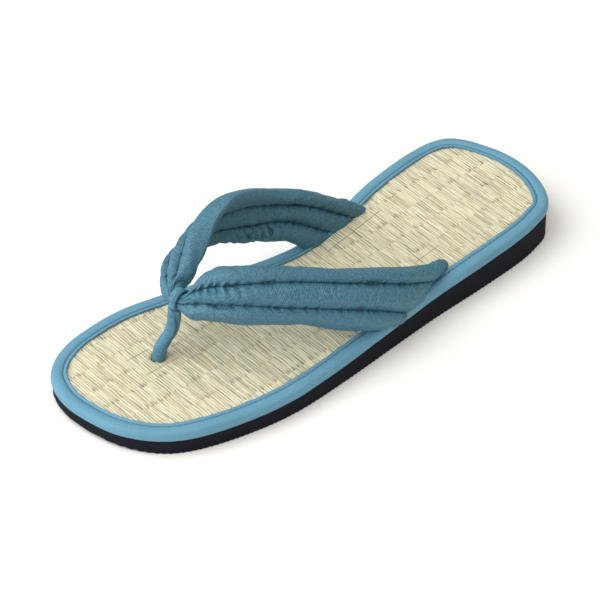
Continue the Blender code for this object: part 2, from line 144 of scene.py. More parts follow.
# Pleats that the sewing thread draws up along the rear line beside the knot: where, height in mm
PLEATS = ((-11.0, 0.9), (-14.6, 1.25), (-18.0, 1.4), (-21.6, 1.3), (-25.2, 1.05), (-29.4, 0.7),
          (-34.0, 0.4))

# The toe post's line, in mm, with its radius: it stands up, leans back, then stands up again
POST_ROWS = (
    # x, y, z, radius
    (-10.9, -81.6, 8.6, 3.1),
    (-10.9, -81.3, 11.5, 3.1),
    (-10.9, -80.8, 14.4, 3.1),
    (-10.8, -79.8, 17.2, 3.0),
    (-10.7, -77.7, 19.8, 2.9),
    (-10.6, -75.6, 21.8, 2.85),
    (-10.4, -74.2, 23.9, 2.9),
    (-10.2, -73.3, 26.5, 3.0),
    (-10.0, -72.9, 29.5, 3.1),
    (-9.8, -72.6, 33.5, 3.0),
    (-9.7, -72.5, 39.9, 2.95),
)
# Creases pressed in the post, in mm and degrees: 0 faces the lateral side, 90 the heel
POST_CREASES = (
    # height, half width, points: (way up the post, angle)
    (-1.0, 0.6, ((29.0, -30.0), (26.0, -22.0), (22.0, -8.0), (17.3, -3.0), (11.5, 0.0))),
    (0.35, 0.6, ((27.0, -46.0), (22.0, -28.0), (17.0, -22.0), (13.0, -20.0))),
    (-1.4, 0.6, ((32.4, -170.0), (31.4, -90.0), (30.5, -40.0), (30.9, 30.0), (31.6, 110.0))),
    (0.5, 0.7, ((29.8, -120.0), (29.0, -40.0), (29.2, 20.0))),
    (-0.6, 0.6, ((26.8, -130.0), (26.4, -80.0), (25.4, -40.0))),
    (0.3, 0.9, ((28.6, -110.0), (28.2, -60.0))),
    (-0.4, 0.8, ((22.4, -140.0), (21.4, -90.0), (20.2, -60.0))),
    (-0.35, 0.7, ((17.6, -120.0), (16.4, -70.0), (16.0, -40.0))),
    (-0.3, 0.8, ((12.6, -100.0), (11.6, -60.0))),
    (-0.45, 0.7, ((23.6, 120.0), (23.0, 160.0), (23.4, 200.0))),
    (-0.45, 0.7, ((19.0, 60.0), (18.0, 100.0), (18.6, 150.0))),
    (-0.4, 0.7, ((14.4, 20.0), (13.6, 60.0), (14.2, 110.0))),
)
# The loop's section: along the band, and out from the gathered band, in mm. One edge is rolled.
LOOP_SECTION = (
    (-2.7, 0.0), (-2.2, 0.35), (-1.4, 0.55), (-0.5, 0.6), (0.2, 0.5), (0.6, 0.3), (0.85, 0.0),
    (1.0, 0.5), (1.3, 1.0), (1.75, 1.25), (2.2, 1.1), (2.5, 0.65), (2.5, 0.1), (1.9, -0.3),
    (0.0, -0.5), (-1.8, -0.4),
)
LOOP_GROOVE = 0.85                      # where the rolled edge is sewn down, along the band
LOOP_EDGE = 2.5                         # where it ends

# Sections of the bias tape: how far in from the outline, and height over the outsole, in mm
TAPE_SECTION = (
    (0.95, 0.35), (0.3, 0.3), (0.02, 0.75), (-0.1, 1.9), (-0.08, 3.1), (0.2, 4.1), (0.75, 4.72),
    (1.6, 5.05), (2.7, 5.22), (3.8, 5.2), (4.7, 5.0), (5.12, 4.72), (5.35, 4.32), (5.62, 4.72),
    (6.1, 5.02), (6.65, 5.22), (7.05, 5.16), (7.26, 4.85), (7.3, 4.1), (6.6, 3.9), (4.0, 3.9),
    (1.2, 3.9),
)
FOLD_LINE = (5.35, 4.48)                # where the tape is sewn down, in the same sizes
TAPE_EDGE = 7.3                         # where it meets the mat

# Painted shade of thin lines pressed in the mat beside the slots and the post, in mm: from, to
CREASE_SHADE_LINES = (
    # from x, y,   to x, y
    (-20.0, 59.0, -14.4, 20.0),
    (16.8, 62.0, 18.4, 45.0),
    (-18.2, -95.0, -18.0, -80.0),
    (-5.2, -94.5, -5.0, -74.0),
)
# How the mat's warp threads drift sideways along the sole: y, and how far x moves there, in mm
WARP_DRIFT = ((-130, -80, -35, 0, 45, 65, 110, 130), (0.1, -0.2, -0.9, 0.3, 1.7, 0.7, -1.0, -1.2))


def linear(hex_colour):
    """sRGB hex to the linear values that shaders and lights take."""
    values = [int(hex_colour[i:i + 2], 16) / 255.0 for i in (1, 3, 5)]
    return tuple(v / 12.92 if v <= 0.04045 else ((v + 0.055) / 1.055) ** 2.4 for v in values)


# ---- properties

def length_property(name, description, millimetres):
    return FloatProperty(name=name, description=description, default=millimetres * MM,
                         subtype="DISTANCE", unit="LENGTH", min=0.0)


def colour_property(name, description, hex_colour):
    return FloatVectorProperty(name=name, description=description, default=linear(hex_colour),
                               subtype="COLOR", size=3, min=0.0, max=1.0)


class SandalSizes(bpy.types.PropertyGroup):
    weft: length_property("Straw pitch", "From one straw of the mat to the next", 1.34)
    warp: length_property("Warp pitch", "Between the cotton threads the straws cross", 12.1)
    straw_rise: length_property("Straw rise", "Height of a straw over the gap beside it", 0.15)
    mat_rise: length_property("Mat height", "Middle of the mat over the outsole", 4.15)
    rib: length_property("Tread rib pitch", "From one rib of the outsole to the next", 2.4)
    rib_depth: length_property("Tread rib depth", "Depth of the grooves between the ribs", 0.5)
    stitch: length_property("Stitch", "Length of one machine stitch with its gap", 2.7)
    thread: length_property("Thread", "Thickness of the sewing thread", 0.38)
    # Such a twill's ribs lie about 0.7 mm apart; they are drawn coarser, so that they show
    twill: length_property("Twill pitch", "From one rib of the strap cloth to the next", 0.9)
    tape_weave: length_property("Tape weave pitch", "Thread spacing of the binding tape", 0.62)


class SandalColours(bpy.types.PropertyGroup):
    straw: colour_property("Straw", "Dry rush straw", "#DBD6B4")
    straw_pale: colour_property("Pale straw", "The palest straws", "#F4F1DF")
    # Painted shade in the gaps between straws
    straw_gap: colour_property("Straw gap", "Shade between two straws", "#1C2410")
    strap: colour_property("Strap cloth", "Teal-blue cotton twill", "#386D83")
    tape: colour_property("Binding tape", "Light blue cotton", "#6195AF")
    foam: colour_property("Outsole foam", "Navy-black closed-cell foam", "#0D1019")


def sizes():
    return bpy.context.scene.sandal_sizes


def colours():
    return bpy.context.scene.sandal_colours


# ---- modelling helpers

def deselect():
    if bpy.context.object and bpy.context.object.mode != "OBJECT":
        bpy.ops.object.mode_set(mode="OBJECT")
    bpy.ops.object.select_all(action="DESELECT")


def activate(piece):
    deselect()
    piece.select_set(True)
    bpy.context.view_layer.objects.active = piece


def points_of(piece):
    flat = np.zeros(len(piece.data.vertices) * 3)
    piece.data.vertices.foreach_get("co", flat)
    return flat.reshape(-1, 3)


def move_points(piece, places):
    piece.data.vertices.foreach_set("co", np.asarray(places, float).ravel())
    piece.data.update()


def bell(x, middle, wide):
    """1 at the middle, falling to a third at wide from it and to 0 beyond."""
    return np.exp(-((x - middle) / wide) ** 2)


def ease(x, start, over):
    """0 up to start, then rising evenly to 1."""
    return np.clip((x - start) / over, 0.0, 1.0)


def travel(points):
    """How far along a bent line each of its points lies."""
    return np.concatenate([[0.0], np.cumsum(np.linalg.norm(np.diff(points, axis=0), axis=1))])


def at_ways(points, travelled, goals):
    """Rows of numbers along a bent line, read at the given ways along it."""
    return np.column_stack([np.interp(goals, travelled, column) for column in points.T])


def along_crease(x, y, line, wide):
    """1 on a bent line, falling to 0 beside it within about its half width and at both ends."""
    place = np.column_stack([x, y])
    best = np.full(len(place), np.inf)
    fade = np.zeros(len(place))
    travelled = travel(line)
    for index in range(len(line) - 1):
        step = line[index + 1] - line[index]
        share = np.clip(((place - line[index]) @ step) / (step @ step), 0.0, 1.0)
        away = np.linalg.norm(place - line[index] - share[:, None] * step, axis=1)
        at = (travelled[index] + share * np.linalg.norm(step)) / travelled[-1]
        closer = away < best
        best = np.where(closer, away, best)
        fade = np.where(closer, np.sin(math.pi * np.clip(at, 0.06, 0.94)) ** 0.5, fade)
    return fade * bell(best, 0.0, wide)


def note(piece, **numbers):
    """Give a piece numbers of its own at each of its points, for its material to read."""
    for name, values in numbers.items():
        layer = piece.data.attributes.new(name, "FLOAT", "POINT")
        layer.data.foreach_set("value", values.astype(np.float32))


def read(piece, name):
    """A piece's own number at each of its points."""
    values = np.zeros(len(piece.data.vertices), np.float32)
    piece.data.attributes[name].data.foreach_get("value", values)
    return values.astype(float)


def sheet_of(name, across, along):
    """A flat square sheet of cells with a UV map, and each point's place on it from 0 to 1."""
    deselect()
    bpy.ops.mesh.primitive_grid_add(
        x_subdivisions=across, y_subdivisions=along, size=1.0, calc_uvs=True)
    piece = bpy.context.object
    piece.name = piece.data.name = name
    place = points_of(piece) + 0.5
    return piece, place[:, 0], place[:, 1]


def size_uv(piece, wide, tall):
    """Scale a sheet's UV map from 0 to 1 up to the size of the flat cloth."""
    uv = piece.data.uv_layers[0].data
    flat = np.zeros(len(uv) * 2)
    uv.foreach_get("uv", flat)
    uv.foreach_set("uv", (flat.reshape(-1, 2) * (wide, tall)).ravel())


def close_up(piece, ends=False):
    """Merge the edges that meet, close the open ends if asked, and turn every face outwards."""
    activate(piece)
    bpy.ops.object.mode_set(mode="EDIT")
    bpy.ops.mesh.select_all(action="SELECT")
    bpy.ops.mesh.remove_doubles(threshold=0.01 * MM)
    if ends:
        bpy.ops.mesh.select_all(action="DESELECT")
        bpy.ops.mesh.select_mode(type="EDGE")
        bpy.ops.mesh.select_non_manifold()
        bpy.ops.mesh.edge_face_add()
        bpy.ops.mesh.select_mode(type="VERT")
    bpy.ops.mesh.select_all(action="SELECT")
    bpy.ops.mesh.normals_make_consistent(inside=False)
    bpy.ops.object.mode_set(mode="OBJECT")


def cover(piece, material):
    piece.data.materials.clear()
    piece.data.materials.append(material)


def finish_piece(piece, material, slot, *replaced):
    cover(piece, material)
    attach(piece, BODY)
    if replaced:
        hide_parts(*replaced)


def smooth(t):
    """0 to 1 again, but level at both ends."""
    return t * t * (3.0 - 2.0 * t)


def smooth_noise(place, length, spacing, seed):
    """Noise from -1 to 1 at places along a length, with bumps about spacing long."""
    count = int(length / spacing) + 8
    knots = np.random.default_rng(seed).uniform(-1.0, 1.0, count)
    x = np.clip(place, 0.0, length) + spacing
    index = np.clip((x / spacing).astype(int), 0, count - 2)
    t = smooth(x / spacing - index)
    return knots[index] * (1.0 - t) + knots[index + 1] * t


def smooth_field(x, y, wide, deep, seed):
    """Noise from -1 to 1 over a plane, with bumps about wide by deep in size."""
    u, v = (x - x.min()) / wide, (y - y.min()) / deep
    shape = (int(u.max()) + 3, int(v.max()) + 3)
    knots = np.random.default_rng(seed).uniform(-1.0, 1.0, shape)
    i, j = u.astype(int), v.astype(int)
    s, t = smooth(u - i), smooth(v - j)
    low = knots[i, j] * (1.0 - s) + knots[i + 1, j] * s
    high = knots[i, j + 1] * (1.0 - s) + knots[i + 1, j + 1] * s
    return low * (1.0 - t) + high * t


def spline(rows, place):
    """Catmull-Rom through rows of numbers, at places counted in rows."""
    rows = np.asarray(rows, float)
    place = np.clip(place, 0.0, len(rows) - 1.0001)
    index = place.astype(int)
    t = (place - index)[:, None]
    p0 = rows[np.maximum(index - 1, 0)]
    p1 = rows[index]
    p2 = rows[index + 1]
    p3 = rows[np.minimum(index + 2, len(rows) - 1)]
    return 0.5 * (2.0 * p1 + (p2 - p0) * t + (2.0 * p0 - 5.0 * p1 + 4.0 * p2 - p3) * t ** 2
                  + (3.0 * p1 - p0 - 3.0 * p2 + p3) * t ** 3)


def unit(vectors):
    return vectors / np.maximum(np.linalg.norm(vectors, axis=-1, keepdims=True), 1e-12)


# ---- the sole's plan

class Sole:
    """The sole's outline and heights, read from the outsole's solid."""
    COUNT = 560           # points of the outline
    INSET = 0.6 * MM      # the outsole's wall stands in from the binding by this
    MID_WALL = 5.0 * MM   # a height between the wall's foot and its rim, all the way round
    SMOOTHINGS = 6        # rounds that even out the corners of the solid's facets
    HEIGHTS = 13          # steps of 1 mm over which the heights are evened out

    def __init__(self):
        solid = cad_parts["outsole"]
        wall = {corner for face in solid.data.polygons if abs(face.normal.z) < 0.5
                for corner in face.vertices}
        places = np.unique(points_of(solid)[sorted(wall)].round(6), axis=0)
        rim = places[places[:, 2] > self.MID_WALL]
        foot = places[places[:, 2] <= self.MID_WALL]
        rim = rim[np.argsort(np.arctan2(rim[:, 0], -rim[:, 1]))]
        self.top_line = self.height_line(rim)
        self.foot_line = self.height_line(foot)
        loop = self.even(rim[:, :2])
        for _ in range(self.SMOOTHINGS):
            loop = (np.roll(loop, 1, 0) + 2.0 * loop + np.roll(loop, -1, 0)) / 4.0
        self.rim = self.even(loop)
        self.length = np.linalg.norm(np.roll(self.rim, -1, 0) - self.rim, axis=1).sum()
        along = np.roll(self.rim, -1, 0) - np.roll(self.rim, 1, 0)
        self.outward = unit(np.column_stack([along[:, 1], -along[:, 0]]))

    def height_line(self, points):
        """The points' heights along the sole, evened out."""
        ys = np.unique(points[:, 1].round(5))
        zs = np.array([points[np.abs(points[:, 1] - y) < 0.02 * MM, 2].mean() for y in ys])
        grid = np.arange(-0.14, 0.14, MM)      # from past one end to past the other
        line = np.pad(np.interp(grid, ys, zs), self.HEIGHTS // 2, mode="edge")
        kernel = np.hanning(self.HEIGHTS)
        return grid, np.convolve(line, kernel / kernel.sum(), mode="valid")

    def even(self, loop):
        """A closed loop again, with its points evenly spaced."""
        closed = np.vstack([loop, loop[:1]])
        travelled = travel(closed)
        goals = np.linspace(0.0, travelled[-1], self.COUNT, endpoint=False)
        return at_ways(closed, travelled, goals)

    def top(self, y):
        return np.interp(y, *self.top_line)

    def foot(self, y):
        return np.interp(y, *self.foot_line)

    def edge(self, inset, share):
        """Points of the outline moved inward by inset, at shares of the way round."""
        place = np.mod(share, 1.0) * self.COUNT
        index = place.astype(int) % self.COUNT
        after = (index + 1) % self.COUNT
        t = (place - np.floor(place))[:, None]
        base = self.rim[index] * (1.0 - t) + self.rim[after] * t
        out = unit(self.outward[index] * (1.0 - t) + self.outward[after] * t)
        return base - out * (np.reshape(inset, (-1, 1)) - self.INSET)


SOLE = Sole()


def inside(points, loop):
    """Which points of the plan lie inside a closed loop."""
    x, y = points[:, 0], points[:, 1]
    found = np.zeros(len(points), bool)
    for (ax, ay), (bx, by) in zip(loop, np.roll(loop, -1, 0)):
        if ay == by:
            continue
        crosses = (ay > y) != (by > y)
        found ^= crosses & (x < (bx - ax) * (y - ay) / (by - ay) + ax)
    return found


# ---- materials

def fill(tree, node, inputs):
    """Give a node's inputs their numbers or links. A node stands for its first open output."""
    for key, value in inputs.items():
        if isinstance(value, bpy.types.Node):
            value = next(output for output in value.outputs if output.enabled)
        if isinstance(value, bpy.types.NodeSocket):
            tree.links.new(value, node.inputs[key])
        else:
            node.inputs[key].default_value = value


def add(tree, kind, inputs=(), **settings):
    """Add a node with its settings, and fill or link its inputs."""
    made = tree.nodes.new("ShaderNode" + kind)
    for name, value in settings.items():
        setattr(made, name, value)
    fill(tree, made, dict(inputs))
    return made


def new_material(name):
    made = bpy.data.materials.new(name)
    made.use_nodes = True
    tree = made.node_tree
    return made, tree, tree.nodes["Principled BSDF"]


def rgba(colour, times=1.0):
    return (*(c * times for c in colour), 1.0)


def dried_rush_mat():
    """Dried rush straws woven over cotton: a soft waxy sheen, and each straw its own shade."""
    made, tree, shader = new_material("dried_rush_mat")
    colour = colours()
    plan = add(tree, "UVMap", uv_map="UVMap")
    shade, tint, gap = [add(tree, "Attribute", attribute_name=name).outputs["Fac"]
                        for name in ("straw_shade", "straw_tint", "straw_gap")]
    # Fibre streaks along each straw, about 0.2 mm wide and 5 mm long
    stretch = add(tree, "Mapping", {"Vector": plan, "Scale": (0.2 / MM, 4.2 / MM, 1.0)})
    streaks = add(tree, "TexNoise", {"Vector": stretch, "Scale": 1.0, "Detail": 3.0})
    final = add(tree, "Mix", {"Factor": shade, 6: rgba(colour.straw), 7: rgba(colour.straw_pale)},
                data_type="RGBA")
    # Some straws lean to pink and some to green, and the streaks are browner
    for value, low, high, most, lean in (
            (tint, 0.1, 1.0, 0.25, "#D6C8B4"), (tint, -0.1, -1.0, 0.28, "#C3C6A2"),
            (streaks, 0.42, 0.68, 0.6, "#ABA47C")):
        share = add(tree, "MapRange", {0: value, 1: low, 2: high, 3: 0.0, 4: most})
        final = add(tree, "Mix", {"Factor": share, 6: final, 7: rgba(linear(lean))},
                    data_type="RGBA")
    # Painted shade in the gaps between straws, down split straws and in the hole round the post
    deep = add(tree, "Math", {0: gap, 1: 0.95}, operation="MULTIPLY")
    final = add(tree, "Mix", {"Factor": deep, 6: final, 7: rgba(colour.straw_gap)},
                data_type="RGBA")
    # Painted shade in the thin pressed lines beside the slots and the post
    final = add(tree, "Mix", {"Factor": painted_crease_lines(tree), 6: final,
                              7: rgba(linear("#7E7A54"))}, data_type="RGBA")
    fill(tree, shader, {
        "Base Color": final,
        "Roughness": add(tree, "MapRange", {0: streaks, 3: 0.45, 4: 0.65}),
        "Specular IOR Level": 0.4,
        "Normal": add(tree, "Bump", {"Strength": 0.6, "Distance": 0.07 * MM, "Height": streaks}),
    })
    return made


def painted_crease_lines(tree):
    """How much painted shade of a pressed line, 0.35 mm wide, lies at a place on the mat."""
    place = add(tree, "TexCoord").outputs["Object"]
    fade = 2.0 * MM                     # at each end of a line
    total = 0.0
    for ax, ay, bx, by in CREASE_SHADE_LINES:
        length = math.hypot(bx - ax, by - ay) * MM
        turned = add(tree, "Mapping", {
            "Vector": place, "Location": (ax * MM, ay * MM, 0.0),
            "Rotation": (0.0, 0.0, math.atan2(by - ay, bx - ax))}, vector_type="TEXTURE")
        way, off = add(tree, "SeparateXYZ", {0: turned}).outputs[:2]
        off = add(tree, "Math", {0: off}, operation="ABSOLUTE")
        mark = add(tree, "MapRange", {0: off, 1: 0.08 * MM, 2: 0.3 * MM, 3: 0.95, 4: 0.0})
        for start, end in ((0.0, fade), (length, length - fade)):
            part = add(tree, "MapRange", {0: way, 1: start, 2: end})
            mark = add(tree, "Math", {0: mark, 1: part}, operation="MULTIPLY")
        total = add(tree, "Math", {0: mark, 1: total}, operation="MAXIMUM")
    return total


def woven_cotton(name, colour, pitch, diagonal, contrast, nap):
    """Woven cotton: fine ribs at the given slant, single threads a little lighter or darker."""
    made, tree, shader = new_material(name)
    plan = add(tree, "UVMap", uv_map="UVMap")
    scale = 0.31416 / pitch             # a wave's bands are 0.31416 apart at a scale of 1
    turned = add(tree, "Mapping", {"Vector": plan, "Rotation": (0.0, 0.0, diagonal)})
    ribs = add(tree, "TexWave", {"Vector": turned, "Scale": scale, "Distortion": 3.4,
                                 "Detail": 2.0, "Detail Scale": 1.5}).outputs["Fac"]
    cross = add(tree, "Mapping", {"Vector": plan, "Rotation": (0.0, 0.0, diagonal + 1.2)})
    threads = add(tree, "TexWave", {"Vector": cross, "Scale": scale * 1.25,
                                    "Distortion": 1.6}).outputs["Fac"]
    specks = add(tree, "TexNoise", {"Vector": plan, "Scale": 0.9 / pitch, "Detail": 2.0,
                                    "Roughness": 0.6})
    faded = add(tree, "TexNoise", {"Vector": plan, "Scale": 0.045 / MM, "Detail": 3.0})
    weave = add(tree, "Mix", {"Factor": 0.45, 2: ribs, 3: threads}, data_type="FLOAT")
    fabric = add(tree, "Mix", {"Factor": 0.67, 2: weave, 3: specks}, data_type="FLOAT")
    # Threads are paler or darker partly at random, partly as painted highlight on raised threads
    # and painted shade between them; worn patches are greyer, and painted shade darkens cloth sunk
    # in a sewn line
    pale_tone_and_highlight = tuple(min(c * (1.0 + contrast * 1.1) + 0.06 * contrast, 1.0) for c in colour)
    worn = tuple(0.88 * c + 0.12 * g for c, g in zip(colour, linear("#55807C")))
    level = add(tree, "MapRange", {0: fabric, 1: 0.35, 2: 0.65})
    patch = add(tree, "MapRange", {0: faded, 1: 0.4, 2: 0.7, 3: 0.0, 4: 0.45})
    final = add(tree, "Mix", {"Factor": level, 6: rgba(colour, 1.0 - contrast), 7: rgba(pale_tone_and_highlight)},
                data_type="RGBA")
    for share, tone in ((patch, rgba(worn, 0.93)), (painted_seam_shade(tree), rgba(colour, 0.47))):
        final = add(tree, "Mix", {"Factor": share, 6: final, 7: tone}, data_type="RGBA")
    fill(tree, shader, {
        "Base Color": final, "Roughness": 0.58, "Specular IOR Level": nap,
        "Normal": add(tree, "Bump", {"Strength": 0.7, "Distance": 0.09 * MM, "Height": fabric}),
    })
    return made


def painted_seam_shade(tree):
    """Painted shade in the sewn lines and the other lines a piece notes, broken at every stitch.
    """
    away, way = [add(tree, "Attribute", attribute_name=name).outputs["Fac"]
                 for name in ("band_seam", "band_way")]
    line = add(tree, "MapRange", {0: away, 1: 0.05 * MM, 2: 0.45 * MM, 3: 0.85, 4: 0.0})
    stitch = add(tree, "Math", {0: way, 1: 1.0 / sizes().stitch}, operation="MULTIPLY")
    share = add(tree, "Math", {0: stitch}, operation="FRACT")
    broken = add(tree, "MapRange", {0: share, 1: 0.15, 2: 0.35, 3: 0.2, 4: 1.0})
    return add(tree, "Math", {0: line, 1: broken}, operation="MULTIPLY")


def moulded_foam():
    """Closed-cell foam, moulded: matt, with fine pores and a faint pale bloom."""
    made, tree, shader = new_material("moulded_foam")
    place = add(tree, "TexCoord").outputs["Object"]
    # Pores 0.7 mm apart, and patches of bloom about 8 mm across
    pores = add(tree, "TexVoronoi", {"Vector": place, "Scale": 1.4 / MM})
    bloom = add(tree, "TexNoise", {"Vector": place, "Scale": 0.12 / MM, "Detail": 4.0})
    share = add(tree, "MapRange", {0: bloom, 1: 0.35, 2: 0.75, 3: 0.0, 4: 0.6})
    fill(tree, shader, {
        "Base Color": add(tree, "Mix", {"Factor": share, 6: rgba(colours().foam),
                                        7: rgba(linear("#161822"))}, data_type="RGBA"),
        "Roughness": 0.86, "Specular IOR Level": 0.2,
        "Normal": add(tree, "Bump", {"Strength": 0.35, "Distance": 0.08 * MM, "Height": pores}),
    })
    return made


def sewing_thread():
    """Twisted polyester sewing thread: a little glossier than the cloth."""
    made, tree, shader = new_material("blue_sewing_thread")
    colour = linear("#3C6C8E")
    place = add(tree, "TexCoord").outputs["Object"]
    # The twist's turns are 0.35 mm apart
    twist = add(tree, "TexWave", {"Vector": place, "Scale": 0.9 / MM, "Distortion": 1.0},
                bands_direction="DIAGONAL").outputs["Fac"]
    fill(tree, shader, {
        "Base Color": add(tree, "Mix", {"Factor": twist, 6: rgba(colour, 0.7), 7: rgba(colour)},
                          data_type="RGBA"),
        "Roughness": 0.55})
    return made


def fibre_board():
    """Pressed fibre board under the mat: buff, with short darker fibres."""
    made, tree, shader = new_material("fibre_board")
    place = add(tree, "TexCoord").outputs["Object"]
    # Clumps of fibres about 1.7 mm across
    fibres = add(tree, "TexNoise", {"Vector": place, "Scale": 0.6 / MM, "Detail": 4.0})
    fill(tree, shader, {
        "Base Color": add(tree, "Mix", {"Factor": fibres, 6: rgba(linear("#8F8468")),
                                        7: rgba(linear("#C6B994"))}, data_type="RGBA"),
        "Roughness": 0.9})
    return made


def studio_paper():
    """Matt white paper, a faint tooth in it."""
    made, tree, shader = new_material("white_studio_paper")
    place = add(tree, "TexCoord").outputs["Object"]
    tooth = add(tree, "TexNoise", {"Vector": place, "Scale": 0.3 / MM})
    fill(tree, shader, {
        "Base Color": add(tree, "Mix", {"Factor": tooth, 6: rgba(linear("#FAFAFA")),
                                        7: rgba(linear("#FDFDFD"))}, data_type="RGBA"),
        "Roughness": 0.95, "Specular IOR Level": 0.1})
    return made


# ---- pieces

class SANDAL_OT_outsole(bpy.types.Operator):
    """Foam outsole with its ribbed tread and a little toe spring"""
    bl_idname = "sandal.outsole"
    bl_label = "Foam outsole"

    HALF_LENGTH = 130.0 * MM  # the ribs run this far either way from the middle

    def execute(self, context):
        size = sizes()
        deselect()
        bpy.ops.mesh.primitive_circle_add(vertices=SOLE.COUNT, radius=0.1, fill_type="NGON")
        piece = context.object
        piece.name = piece.data.name = "foam_outsole"
        move_points(piece, np.column_stack([SOLE.rim, np.zeros(SOLE.COUNT)]))
        bpy.ops.object.mode_set(mode="EDIT")
        bpy.ops.mesh.select_all(action="SELECT")
        bpy.ops.mesh.extrude_region_move(
            TRANSFORM_OT_translate={"value": (0.0, 0.0, 2.0 * SOLE.MID_WALL)})
        # Cut across at the crest and the trough of every rib
        half = size.rib / 2.0
        reach = int(self.HALF_LENGTH / half)
        for step in range(-reach, reach + 1):
            bpy.ops.mesh.select_all(action="SELECT")
            bpy.ops.mesh.bisect(plane_co=(0.0, step * half, 0.0), plane_no=(0.0, 1.0, 0.0))
        bpy.ops.mesh.select_all(action="SELECT")
        bpy.ops.mesh.normals_make_consistent(inside=False)
        bpy.ops.object.mode_set(mode="OBJECT")
        at = points_of(piece)
        wave = np.abs(np.mod(at[:, 1] / size.rib + 0.5, 1.0) * 2.0 - 1.0)
        groove = SOLE.foot(at[:, 1]) + size.rib_depth * (1.0 - wave)
        at[:, 2] = np.where(at[:, 2] > SOLE.MID_WALL, SOLE.top(at[:, 1]), groove)
        move_points(piece, at)
        activate(piece)
        bpy.ops.object.shade_smooth_by_angle(angle=math.radians(25.0))
        finish_piece(piece, moulded_foam(), "outsole_foam", "outsole")
        return {"FINISHED"}


